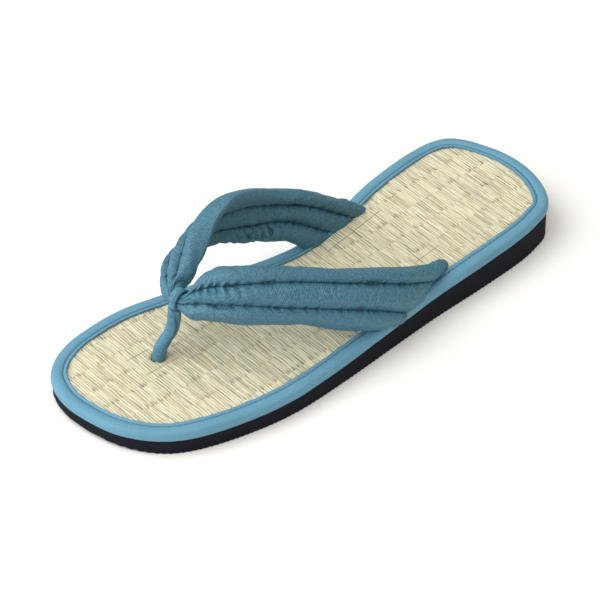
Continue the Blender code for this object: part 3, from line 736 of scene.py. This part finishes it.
class SANDAL_OT_insole(bpy.types.Operator):
    """Woven straw mat on the insole board"""
    bl_idname = "sandal.insole"
    bl_label = "Straw mat insole"

    HIDDEN_EDGE = 5.9 * MM    # the mat ends under the tape, this far in from the outline
    FIRST_WARP = -36.7 * MM   # the warp thread nearest the medial edge
    BLOCKS = 8                # spaces between warp threads, from edge to edge
    STRAW_ROWS = 6            # rows of cells across one straw
    # Cells between two warp threads, short beside the threads, where the straws dip
    CELLS = (0.0, 0.02, 0.05, 0.1, 0.19, 0.36, 0.56, 0.76, 0.88, 0.94, 0.975)

    def execute(self, context):
        size = sizes()
        low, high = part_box("insole")
        cell = size.weft / self.STRAW_ROWS
        rows = int((high.y - low.y) / cell)
        per_block = len(self.CELLS)
        cells = self.BLOCKS * per_block
        piece, across, along = sheet_of("straw_mat", cells, rows)
        step = np.round(across * cells).astype(int)
        warp = step // per_block + np.array(self.CELLS)[step % per_block]
        x = self.FIRST_WARP - size.warp + warp * size.warp
        y = (along - 0.5) * rows * cell
        self.weave(piece, x, y, warp, along * rows / self.STRAW_ROWS)
        self.trim(piece)
        bpy.ops.object.shade_smooth()
        finish_piece(piece, dried_rush_mat(), "straw_mat")
        cover(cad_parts["insole"], fibre_board())
        return {"FINISHED"}

    def weave(self, piece, x, y, warp, row):
        """Place the mat's points, and note each straw's shade and tint and the painted shade of
        its gaps for the material.
        """
        size = sizes()
        source = np.random.default_rng(5)
        block = np.floor(warp + 1e-6).astype(int)
        # Straws run on from block to block; every other block lies a sixth of a straw aside
        place = row + (block % 2) / self.STRAW_ROWS
        straw = np.floor(place + 1e-6).astype(int)
        phase = place - straw
        line = np.round(place).astype(int)     # the gap nearest a point
        shape = (block.max() + 2, straw.max() + 3)

        def draw(low, high, count=shape):
            return source.uniform(low, high, count)

        level = draw(-1.0, 1.0)[block, straw]
        shade = draw(0.0, 1.0)
        # Neighbouring straws differ more than groups of them do
        shade = 0.5 + 0.4 * (shade - 0.5 * (np.roll(shade, 1, 1) + np.roll(shade, -1, 1)))
        shade = np.clip(shade, 0.0, 1.0)[block, straw]
        # A gap is more or less open, and 6% of them are wide open
        open_gap = 0.42 + 0.9 * draw(0.0, 1.0) ** 1.6
        open_gap = np.where(draw(0.0, 1.0) > 0.94, 1.4, open_gap)[block, line]
        # Most gaps are open over part of their length only
        middle = draw(-0.2, 1.2)[block, line]
        open_gap *= np.clip(1.7 - 2.4 * np.abs(warp - block - middle), 0.35, 1.0)
        # Half the straws are split, with a fainter line of painted shade down their middle
        split = np.clip(draw(-0.7, 0.7), 0.0, 1.0)[block, straw]
        # The straws are not all as wide as each other
        slip = draw(-0.08, 0.08) + draw(-0.24, 0.24, shape[1])
        y = y + size.weft * (slip[block, straw] * (1.0 - phase) + slip[block, straw + 1] * phase)
        # Where a straw dives under a warp thread, its gap is pinched into a short mark of painted
        # shade
        thread = np.round(warp).astype(int)
        reach = (warp - thread) * size.warp
        side = np.where(reach < 0.0, 1.7, 0.8) * MM
        pinch = (draw(0.0, 1.0) ** 3.0)[np.minimum(thread, shape[0] - 1), line]
        pinch *= np.exp(-(reach / side) ** 4)
        gap = np.clip(np.maximum(0.95 * open_gap, 1.5 * pinch), 0.0, 1.0)
        near_gap = np.clip(1.0 - np.abs(place - line) / (0.28 + 0.32 * pinch), 0.0, 1.0)
        near_split = split * np.clip(1.0 - np.abs(phase - 0.5) / 0.2, 0.0, 1.0)
        # Heights: round straws, over one thread and under the next, dished round the post
        rise = 1.0 - np.abs(2.0 * phase - 1.0) ** 2.6
        under = np.where((straw + thread) % 2 == 0, -0.09, 0.03)
        under *= bell(reach, 0.0, 1.6 * MM)
        height = size.straw_rise * (0.6 + 0.7 * gap) * (rise - 1.0) + (0.05 * level + under) * MM
        hole = np.hypot(x - POST_ROWS[0][0] * MM, y - POST_ROWS[0][1] * MM)
        height -= 0.5 * MM * bell(hole, 2.6 * MM, 1.3 * MM)
        # Painted shade in the hole round the post's foot
        post_hole_shade = ease(-hole, -3.5 * MM, 0.4 * MM)
        y = y + 0.3 * MM * smooth_field(x, y, 7.0 * MM, 9.0 * MM, seed=11)
        x = x + np.interp(y, *[np.array(row) * MM for row in WARP_DRIFT])
        height += 0.05 * MM * smooth_field(x, y, 9.0 * MM, 5.0 * MM, seed=12)
        move_points(piece, np.column_stack([x, y, SOLE.top(y) + size.mat_rise + height]))
        # Straws lie in bunches of three of about the same tint
        bunch = np.floor(place / 3.0 + 0.4 * (block % 3)).astype(int)
        tint = draw(-1.0, 1.0, (shape[0], bunch.max() + 2))[block, bunch]
        # The gap numbers carry painted shade: in the gaps, down split straws and round the post
        note(piece, straw_shade=shade, straw_tint=tint,
             straw_gap=np.maximum(np.maximum(gap * near_gap, near_split), post_hole_shade))
        corners = np.zeros(len(piece.data.loops), dtype=int)
        piece.data.loops.foreach_get("vertex_index", corners)
        flat = np.column_stack([warp * size.warp, row * size.weft])[corners]
        piece.data.uv_layers[0].data.foreach_set("uv", flat.ravel())

    def trim(self, piece):
        """Cut the mat to the insole's outline and turn its cut edge down."""
        loop = SOLE.edge(self.HIDDEN_EDGE, np.arange(0, SOLE.COUNT, 4) / SOLE.COUNT)
        keep = inside(points_of(piece)[:, :2], loop)
        activate(piece)
        bpy.ops.object.mode_set(mode="EDIT")
        bpy.ops.mesh.select_mode(type="VERT")
        bpy.ops.mesh.select_all(action="DESELECT")
        bpy.ops.object.mode_set(mode="OBJECT")
        piece.data.vertices.foreach_set("select", ~keep)
        bpy.ops.object.mode_set(mode="EDIT")
        bpy.ops.mesh.delete(type="VERT")
        bpy.ops.mesh.select_non_manifold()
        bpy.ops.mesh.extrude_edges_move(TRANSFORM_OT_translate={"value": (0.0, 0.0, -0.4 * MM)})
        bpy.ops.object.mode_set(mode="OBJECT")


class SANDAL_OT_binding(bpy.types.Operator):
    """Bias tape sewn round the insole's edge"""
    bl_idname = "sandal.binding"
    bl_label = "Edge binding"

    def execute(self, context):
        size = sizes()
        section = np.array(TAPE_SECTION) * MM
        count = len(section)
        piece, across, along = sheet_of("bias_tape", count, SOLE.COUNT)
        ring = np.round(across * count).astype(int) % count
        inset, height = section[ring, 0], section[ring, 1]
        way = along * SOLE.length
        # The tape is a little uneven, except where its ends meet at the heel
        calm = np.minimum(np.minimum(way, SOLE.length - way) / (15.0 * MM), 1.0) * MM
        soft = calm * smooth_noise(way, SOLE.length, 9.0 * MM, seed=21)
        fine = calm * smooth_noise(way, SOLE.length, 2.6 * MM, seed=22)
        # Its upper face rises and sinks, and its outer wall and inner edge waver
        crown = ease(height, 4.0 * MM, 1.2 * MM)
        height = height + crown * (0.13 * soft + 0.08 * fine)
        inset = inset - (inset < 1.0 * MM) * 0.1 * soft + (inset > 6.9 * MM) * 0.18 * fine
        plan = SOLE.edge(inset, along)
        move_points(piece, np.column_stack([plan, SOLE.top(plan[:, 1]) + height]))
        # Painted shade on the upper face, in the sewn line and on the edge beside the mat alike
        drop = np.where(section[ring, 1] > 4.1 * MM, 0.0, MM)
        fold, edge = [np.abs(section[ring, 0] - place * MM) for place in (FOLD_LINE[0], TAPE_EDGE)]
        note(piece, band_way=way, band_seam=np.minimum(fold, 1.6 * edge) + drop)
        size_uv(piece, np.linalg.norm(section - np.roll(section, 1, 0), axis=1).sum(), SOLE.length)
        close_up(piece)
        bpy.ops.object.shade_smooth()
        tape = woven_cotton("bias_cut_cotton_tape", colours().tape, size.tape_weave,
                            diagonal=math.radians(45.0), contrast=0.16, nap=0.3)
        finish_piece(piece, tape, "binding_cloth", "edge_binding")
        share = np.linspace(0.0, 1.0, int(SOLE.length / size.stitch) * 8, endpoint=False)
        line = SOLE.edge(FOLD_LINE[0] * MM, share)
        line = np.column_stack([line, SOLE.top(line[:, 1]) + FOLD_LINE[1] * MM])
        thread = sew("binding_stitches", line, size.stitch, gap=0.3)
        finish_piece(thread, sewing_thread(), "binding_cloth")
        return {"FINISHED"}


def sew(name, line, pitch, gap):
    """Machine stitches round a closed line, each a bead of few faces, in one mesh.

    Gap is the share of each stitch that lies under the cloth.
    """
    radius = sizes().thread / 2.0
    deselect()
    bpy.ops.mesh.primitive_uv_sphere_add(segments=6, ring_count=6, radius=1.0)
    bead = bpy.context.object
    shape = points_of(bead)
    faces = [list(face.vertices) for face in bead.data.polygons]
    bpy.data.objects.remove(bead, do_unlink=True)
    path = np.vstack([line, line[:1]])
    travelled = travel(path)
    count = int(travelled[-1] / pitch)
    places, corners = [], []
    for index in range(count):
        ends = (np.array([gap / 2.0, 1.0 - gap / 2.0]) + index) * travelled[-1] / count
        a, b = at_ways(path, travelled, ends)
        along = (b - a) / 2.0
        side = unit(np.cross((0.0, 0.0, 1.0), along))
        up = unit(np.cross(along, side))
        places.append((a + b) / 2.0 + shape[:, 2:3] * along
                      + shape[:, 0:1] * side * radius + shape[:, 1:2] * up * radius)
        corners += [[c + index * len(shape) for c in face] for face in faces]
    mesh = bpy.data.meshes.new(name)
    mesh.from_pydata(np.vstack(places).tolist(), [], corners)
    mesh.shade_smooth()
    piece = bpy.data.objects.new(name, mesh)
    bpy.context.scene.collection.objects.link(piece)
    return piece


class SANDAL_OT_straps(bpy.types.Operator):
    """Quilted cloth band, gathered at the knot, with both ends in the insole's slots"""
    bl_idname = "sandal.straps"
    bl_label = "Quilted straps"

    SECTIONS = 320            # along the band
    LOBE_STEPS = 12           # cells across one lobe on one skin
    FLAT_WIDTH = 39.0 * MM    # across the flat band, for the cloth's coordinates
    CREASE_WIDTH = 30.0 * MM  # the band's width that the table of creases is drawn on
    SEAM_WIDTH = 36.0 * MM    # and the one that gathers along the seams are drawn on
    LOOP_HALF = 2.7 * MM      # half the loop's length along the band
    MOST_SWELL = 0.65 * MM    # no point moves further while the band is filled
    SETTLE_FRAMES = 20
    CLOTH = {"quality": 5, "mass": 0.02, "tension_stiffness": 8.0, "compression_stiffness": 8.0,
             "shear_stiffness": 3.0, "bending_stiffness": 0.02, "use_pressure": True,
             "uniform_pressure_force": 4.0, "shrink_min": -0.05}
    # How far each lobe takes to fill out again beside the knot, in mm
    LATERAL_FILL = (4.5, 6.0, 3.0)
    MEDIAL_FILL = (2.2, 6.0, 8.0)

    def execute(self, context):
        rear, front, bow, half, way = self.rows()
        middle = (rear + front) / 2.0
        knot = way[np.argmin(np.linalg.norm(middle - np.array(KNOT), axis=1))]
        outward = unit(np.cross(np.gradient(middle, axis=0), front - rear))
        lobe, part, skin = self.ring()
        count = len(part)
        piece, across, along = sheet_of("quilted_straps", count, self.SECTIONS - 1)
        ring = np.round(across * count).astype(int) % count
        section = np.round(along * (self.SECTIONS - 1)).astype(int)
        t, q, side, lobe = way[section] - knot, part[ring], skin[ring], lobe[ring]
        lines = self.sewn_lines(t)
        lower, upper = [lines[np.arange(len(t)), lobe + step] for step in (0, 1)]
        v = lower + (upper - lower) * q
        places = (rear[section] * (1.0 - v[:, None]) + front[section] * v[:, None]
                  + outward[section] * (bow[section] * 4.0 * v * (1.0 - v))[:, None])
        end = np.minimum(way[section], way[-1] - way[section])
        thick = self.thickness(t, v, q, lobe, half[section], end)
        places += outward[section] * (side * thick)[:, None]
        move_points(piece, places)
        width = np.linalg.norm(front - rear, axis=1)[section]
        # The way from the sewn lines, which also places their painted shade
        seam = np.min(np.abs(v[:, None] - lines[:, 1:3]), axis=1) * width
        note(piece, band_way=t, band_share=v, band_skin=side, band_seam=seam)
        size_uv(piece, 2.0 * self.FLAT_WIDTH, way[-1])
        close_up(piece, ends=True)
        self.stuff(piece, way[-1], knot)
        self.refine(piece)
        bpy.ops.object.shade_smooth()
        cloth = woven_cotton("cotton_twill", colours().strap, sizes().twill,
                             diagonal=math.radians(52.0), contrast=0.38, nap=0.5)
        finish_piece(piece, cloth, "strap_cloth", "upper_straps")
        return {"FINISHED"}

    def rows(self):
        """The band's sections, evenly spaced, with the way along the band from its lateral end."""
        rows = np.array(STRAP_ROWS) * MM
        fine = spline(rows, np.linspace(0.0, len(rows) - 1.0, 1500))
        travelled = travel((fine[:, 0:3] + fine[:, 3:6]) / 2.0)
        goals = np.linspace(0.0, travelled[-1], self.SECTIONS)
        even = at_ways(fine, travelled, goals)
        return even[:, 0:3], even[:, 3:6], even[:, 6], even[:, 7], goals

    def ring(self):
        """Points round a section: the outer skin from rear to front, then the inner skin back."""
        steps = self.LOBE_STEPS
        parts = 0.5 - 0.5 * np.cos(math.pi * np.arange(steps) / steps)
        lobe = np.repeat([0, 1, 2], steps)
        part = np.tile(parts, 3)
        back = slice(None, 0, -1)
        return (np.concatenate([lobe, [2], lobe[back]]), np.concatenate([part, [1.0], part[back]]),
                np.concatenate([np.ones(3 * steps + 1), -np.ones(3 * steps - 1)]))

    @staticmethod
    def sewn_lines(t):
        """Shares of the edges and sewn lines across the band, for each way from the knot."""
        table = np.array(SEWN_LINES)
        kept = [np.interp(t / MM, table[:, 0], table[:, k]) for k in (1, 2)]
        return np.column_stack([np.zeros(len(t)), kept[0], kept[1], np.ones(len(t))])

    def thickness(self, t, v, q, lobe, half, end):
        """Half the band's thickness: three full lobes, drawn into one bundle at the knot."""
        edge = np.choose(lobe, (q, np.ones(len(q)), 1.0 - q))
        sewn = SEWN_HALF * MM * np.minimum(edge * 3.0, 1.0)
        # The stuffing stops short of the slots, so the lobes run together there
        flat = 1.0 - ease(end, 5.0 * MM, 9.0 * MM)
        crown = np.abs(np.sin(math.pi * q)) ** (0.6 - 0.38 * flat)
        full = sewn + (half - SEWN_HALF * MM) * crown
        bundle = KNOT_DEPTH * np.sqrt(np.clip(1.0 - (2.0 * v - 1.0) ** 2, 0.0, 1.0))
        # Notches where the seams run in, and eight small folds across the bundle
        notch = bell(np.minimum(q, 1.0 - q), 0.0, 0.1) * (v > 0.05) * (v < 0.95)
        bundle *= 1.0 - 0.16 * notch
        bundle += 0.3 * MM * np.cos(2.0 * math.pi * v * 8.0 + 0.6) * np.sin(math.pi * v)
        fills = np.array([self.MEDIAL_FILL, self.LATERAL_FILL])[(t < 0.0).astype(int), lobe] * MM
        drawn = bell(np.maximum(np.abs(t) - self.LOOP_HALF, 0.0), 0.0, fills)
        return full * (1.0 - drawn) + bundle * drawn

    def stuff(self, piece, length, knot):
        """Fill the band like a cushion: the cloth swells between its sewn lines and wrinkles."""
        scene = bpy.context.scene
        before = points_of(piece)
        t, seam = read(piece, "band_way"), read(piece, "band_seam")
        # The cloth is held along its seams, beside the knot and in the slots
        end = np.minimum(t + knot, length - knot - t)
        free = (ease(seam, 0.5 * MM, 1.6 * MM) * ease(np.abs(t), 5.0 * MM, 8.0 * MM)
                * ease(end, 4.0 * MM, 8.0 * MM))
        held = np.round(10.0 * (1.0 - free)).astype(int)
        group = piece.vertex_groups.new(name="held")
        for level in range(1, 11):
            group.add(np.flatnonzero(held == level).tolist(), level / 10.0, "REPLACE")
        activate(piece)
        bpy.ops.object.modifier_add(type="CLOTH")
        cloth = piece.modifiers[-1]
        for name, value in self.CLOTH.items():
            setattr(cloth.settings, name, value)
        cloth.settings.vertex_group_mass = group.name
        cloth.settings.effector_weights.gravity = 0.0
        cloth.collision_settings.use_collision = False
        cloth.point_cache.frame_start, cloth.point_cache.frame_end = 1, self.SETTLE_FRAMES
        for step in range(1, self.SETTLE_FRAMES + 1):
            scene.frame_set(step)
        bpy.ops.object.modifier_apply(modifier=cloth.name)
        scene.frame_set(1)
        moved = points_of(piece) - before
        far = np.maximum(np.linalg.norm(moved, axis=1), 1e-9)
        moved *= (self.MOST_SWELL * np.tanh(far / self.MOST_SWELL) / far)[:, None]
        move_points(piece, before + moved)
        piece.vertex_groups.clear()

    def refine(self, piece):
        """Subdivide once, then press in the creases and gathers."""
        activate(piece)
        finer = piece.modifiers.new("finer", "SUBSURF")
        finer.levels = finer.render_levels = 1
        finer.use_limit_surface = False
        bpy.ops.object.modifier_apply(modifier=finer.name)
        t, v, side, seam = [read(piece, name) for name in (
            "band_way", "band_share", "band_skin", "band_seam")]
        normals = np.zeros(len(piece.data.vertices) * 3)
        piece.data.vertices.foreach_get("normal", normals)
        troughs = self.pressed(t, v, side)
        # Painted shade in sharp troughs, like that in the sewn lines
        trough_shade_away = (0.75 + 0.55 * np.clip(troughs / MM + 0.6, -1.0, 0.0)) * MM
        piece.data.attributes["band_seam"].data.foreach_set(
            "value", np.minimum(seam, trough_shade_away).astype(np.float32))
        rise = self.gathers(t, v, side) + troughs
        at = points_of(piece) + normals.reshape(-1, 3) * rise[:, None]
        # The front edge of the medial arm hangs in small waves
        sway = bell(t, 66.0 * MM, 17.0 * MM) * ease(v, 0.8, 0.2)
        at[:, 2] += 0.75 * MM * sway * smooth_noise(t + 0.2, 0.4, 2.9 * MM, seed=77)
        move_points(piece, at)

    def gathers(self, t, v, side):
        """Small gathers along the sewn lines, closer and deeper towards the knot."""
        lines = self.sewn_lines(t)
        rise = np.zeros(len(t))
        near = bell(np.abs(t), 12.0 * MM, 12.0 * MM)
        calm = ease(np.abs(t), 4.0 * MM, 4.0 * MM)
        reach = (1.9 + 0.8 * near) * MM
        for index in (1, 2):
            off = (v - lines[:, index]) * self.SEAM_WIDTH
            wave = smooth_noise(t + 0.2 + 0.5 * np.abs(off), 0.4, 1.5 * MM, seed=31 + index)
            rise += 0.62 * MM * calm * np.minimum(wave, 0.2) * bell(off, 0.0, reach)
        # Pleats slant away from the rear seam, reach further forward, and each has its trough
        off = (v - lines[:, 1]) * self.SEAM_WIDTH
        reach = np.where(off > 0.0, 5.2, 2.6) * MM
        shape = (1.0 - bell(off, 0.0, 0.8 * MM)) * np.exp(-(np.abs(off) / reach) ** 2.5)
        for place, height in PLEATS:
            away = t - place * MM + 0.4 * np.abs(off)
            fold = bell(away, 0.0, 0.9 * MM) - 0.75 * bell(away, 1.7 * MM, 0.8 * MM)
            rise += (side > 0.0) * height * MM * fold * shape
        return rise

    def pressed(self, t, v, side):
        """The creases of the table."""
        rise = np.zeros(len(t))
        for skin, height, wide, points in CREASES:
            line = np.array(points) * (MM, self.CREASE_WIDTH)
            rise += (side * skin > 0.0) * height * MM * along_crease(
                t, v * self.CREASE_WIDTH, line, wide * MM)
        return rise


class SANDAL_OT_toe_post(bpy.types.Operator):
    """Stuffed cloth tube from the insole to the loop that holds the gathered band"""
    bl_idname = "sandal.toe_post"
    bl_label = "Toe post"

    AROUND, STEPS, LOOP_STEPS = 48, 120, 96   # cells round the tube, along it and round the loop
    DEGREE = 0.053 * MM       # the tube's cloth over one degree of its girth
    TUBE_CLOTH = 20.0 * MM    # the tube's flat cloth, across
    LOOP_CLOTH = (12.0 * MM, 34.0 * MM)   # and the loop's, across and along
    LOOP_GAP = 0.35 * MM      # from the gathered band out to the loop's own line
    UNBROKEN = 0.6            # a share of a stitch where the shade of a sewn line is whole

    def execute(self, context):
        tube = self.tube()
        loop = self.loop()
        activate(tube)
        loop.select_set(True)
        bpy.ops.object.join()
        bpy.ops.object.shade_smooth()
        # Painted light: the post and loop take the strap's cloth made 1.22 times lighter
        cloth = woven_cotton("cotton_twill_post_painted_light", [c * 1.22 for c in colours().strap],
                             sizes().twill, diagonal=math.radians(40.0), contrast=0.36, nap=0.5)
        finish_piece(tube, cloth, "post_cloth", "toe_post")
        return {"FINISHED"}

    def shade(self, piece, away):
        """Paint shade on a piece where it is near a line, as in a sewn line but without stitches.
        """
        note(piece, band_way=np.full(len(away), self.UNBROKEN * sizes().stitch), band_seam=away)

    def tube(self):
        """The stuffed tube, its top end drawn in under the loop."""
        rows = np.array(POST_ROWS) * MM
        fine = spline(rows, np.linspace(0.0, len(rows) - 1.0, 800))
        travelled = travel(fine[:, :3])
        fine = at_ways(fine, travelled, np.linspace(0.0, travelled[-1], self.STEPS + 1))
        piece, across, along = sheet_of("toe_post_cloth", self.AROUND, self.STEPS)
        index = np.round(along * self.STEPS).astype(int)
        forward = unit(np.gradient(fine[:, :3], axis=0))
        side = unit(np.cross((0.0, 1.0, 0.0), forward))
        up = np.cross(forward, side)
        angle = across * 2.0 * math.pi      # 0 faces the lateral side, a quarter faces the heel
        way = along * travelled[-1]
        folds = self.folds(way, angle)
        radius = fine[index, 3] + folds
        rim = ease(travelled[-1] - way, 0.0, 2.4 * MM)
        radius *= 0.4 + 0.6 * np.sqrt(1.0 - (1.0 - rim) ** 2)
        out = side[index] * np.cos(angle)[:, None] + up[index] * np.sin(angle)[:, None]
        move_points(piece, fine[index, :3] + out * radius[:, None])
        # Painted shade in the troughs of the creases
        self.shade(piece, np.clip(0.65 * MM + 0.7 * folds, 0.0, MM))
        size_uv(piece, self.TUBE_CLOTH, travelled[-1])
        close_up(piece, ends=True)
        return piece

    def folds(self, way, angle):
        """The table's creases, and faint ripples where the tube bends."""
        degrees = np.degrees(angle)
        rise = np.zeros(len(way))
        for height, wide, points in POST_CREASES:
            line = np.array(points) * (MM, self.DEGREE)
            for turn in (-360.0, 0.0):
                rise += height * MM * along_crease(
                    way, (degrees + turn) * self.DEGREE, line, wide * MM)
        ripples = smooth_noise(way + 0.8 * MM * np.cos(angle + 0.8), 0.05, 2.0 * MM, seed=41)
        return rise + 0.14 * MM * bell(way, 20.0 * MM, 8.0 * MM) * ripples

    def loop(self):
        """The band of cloth round the gathered strap, its lateral edge rolled into a ridge."""
        section = np.array(LOOP_SECTION) * MM
        count = len(section)
        piece, across, along = sheet_of("post_loop", count, self.LOOP_STEPS)
        ring = np.round(across * count).astype(int) % count
        turn = along * 2.0 * math.pi
        x, lift = section[ring, 0], section[ring, 1]
        depth, height = [half + self.LOOP_GAP + lift for half in (KNOT_DEPTH, KNOT_HEIGHT)]
        y, z = -depth * np.sin(turn), height * np.cos(turn)
        c, s = math.cos(KNOT_TILT), math.sin(KNOT_TILT)
        places = np.column_stack([x, y * c - z * s, y * s + z * c]) + np.array(KNOT)
        move_points(piece, places)
        # Painted shade along the rolled edge's sewn groove and beside its outer side
        self.shade(piece, np.minimum(0.7 * np.abs(x - LOOP_GROOVE * MM),
                                     0.5 * np.abs(x - LOOP_EDGE * MM)))
        size_uv(piece, *self.LOOP_CLOTH)
        close_up(piece)
        return piece


# ---- stage

class SANDAL_OT_stage(bpy.types.Operator):
    """Pale floor, soft studio light and the camera"""
    bl_idname = "sandal.stage"
    bl_label = "Stage"

    TARGET = Vector((-10.45, 0.8, 0.0)) * MM
    DISTANCE = 1.6055                 # from the target, metres
    AZIMUTH = math.radians(49.6)      # round from the toe towards the lateral side
    ELEVATION = math.radians(40.5)
    LENS, SENSOR = 210.0, 36.0        # mm
    FLOOR = 6.0                       # the floor's side, metres
    LIGHTS = (
        # name, place, size in metres, watts, colour
        ("key_light", (-0.6, -1.1, 1.1), 2.2, 38.0, (1.0, 1.0, 1.0)),
        ("overhead_light", (0.1, 0.5, 1.6), 2.2, 14.5, (1.0, 0.96, 0.88)),
        ("front_light", (0.9, -0.8, 0.9), 1.6, 6.0, (1.0, 0.98, 0.93)),
    )
    SKY, SKY_STRENGTH = (1.0, 0.955, 0.87, 1.0), 0.26

    def execute(self, context):
        deselect()
        bpy.ops.mesh.primitive_plane_add(size=self.FLOOR, location=(0.0, 0.0, 0.0))
        floor = context.object
        floor.name = floor.data.name = "floor"
        cover(floor, studio_paper())
        self.sky()
        for light in self.LIGHTS:
            self.softbox(*light)
        self.camera(context)
        return {"FINISHED"}

    def sky(self):
        world = bpy.data.worlds.new("studio")
        bpy.context.scene.world = world
        world.use_nodes = True
        light = world.node_tree.nodes["Background"]
        light.inputs["Color"].default_value = self.SKY
        light.inputs["Strength"].default_value = self.SKY_STRENGTH

    def softbox(self, name, place, size, power, colour):
        bpy.ops.object.light_add(type="AREA", location=place)
        lamp = bpy.context.object
        lamp.name = name
        lamp.data.shape = "SQUARE"
        lamp.data.size = size
        lamp.data.energy = power
        lamp.data.color = colour
        lamp.rotation_euler = (-Vector(place)).to_track_quat("-Z", "Y").to_euler()

    def camera(self, context):
        data = bpy.data.cameras.new("camera")
        data.lens = self.LENS
        data.sensor_width = self.SENSOR
        data.clip_end = 20.0
        view = bpy.data.objects.new("camera", data)
        context.scene.collection.objects.link(view)
        flat = math.cos(self.ELEVATION)
        away = Vector((math.sin(self.AZIMUTH) * flat, -math.cos(self.AZIMUTH) * flat,
                       math.sin(self.ELEVATION)))
        view.location = self.TARGET + away * self.DISTANCE
        view.rotation_euler = (-away).to_track_quat("-Z", "Y").to_euler()
        context.scene.camera = view
        context.scene.view_settings.view_transform = "Standard"


# ---- add-on

PIECES = (SANDAL_OT_outsole, SANDAL_OT_insole, SANDAL_OT_binding, SANDAL_OT_straps,
          SANDAL_OT_toe_post, SANDAL_OT_stage)


class SANDAL_PT_pieces(bpy.types.Panel):
    """Lists the sandal's pieces, its sizes and its colours"""
    bl_idname = "SANDAL_PT_pieces"
    bl_label = "Thong Sandal"
    bl_space_type = "VIEW_3D"
    bl_region_type = "UI"
    bl_category = "Sandal"

    def draw(self, context):
        column = self.layout.column()
        for piece in PIECES:
            column.operator(piece.bl_idname)
        for group in (context.scene.sandal_sizes, context.scene.sandal_colours):
            for name in group.bl_rna.properties.keys():
                if name not in {"rna_type", "name"}:
                    column.prop(group, name)


CLASSES = (SandalSizes, SandalColours, *PIECES, SANDAL_PT_pieces)


def register():
    for made in CLASSES:
        bpy.utils.register_class(made)
    bpy.types.Scene.sandal_sizes = PointerProperty(type=SandalSizes)
    bpy.types.Scene.sandal_colours = PointerProperty(type=SandalColours)


def unregister():
    del bpy.types.Scene.sandal_sizes
    del bpy.types.Scene.sandal_colours
    for made in reversed(CLASSES):
        bpy.utils.unregister_class(made)


def main():
    register()
    for piece in PIECES:
        group, name = piece.bl_idname.split(".")
        getattr(getattr(bpy.ops, group), name)()


if __name__ == "__main__":
    main()
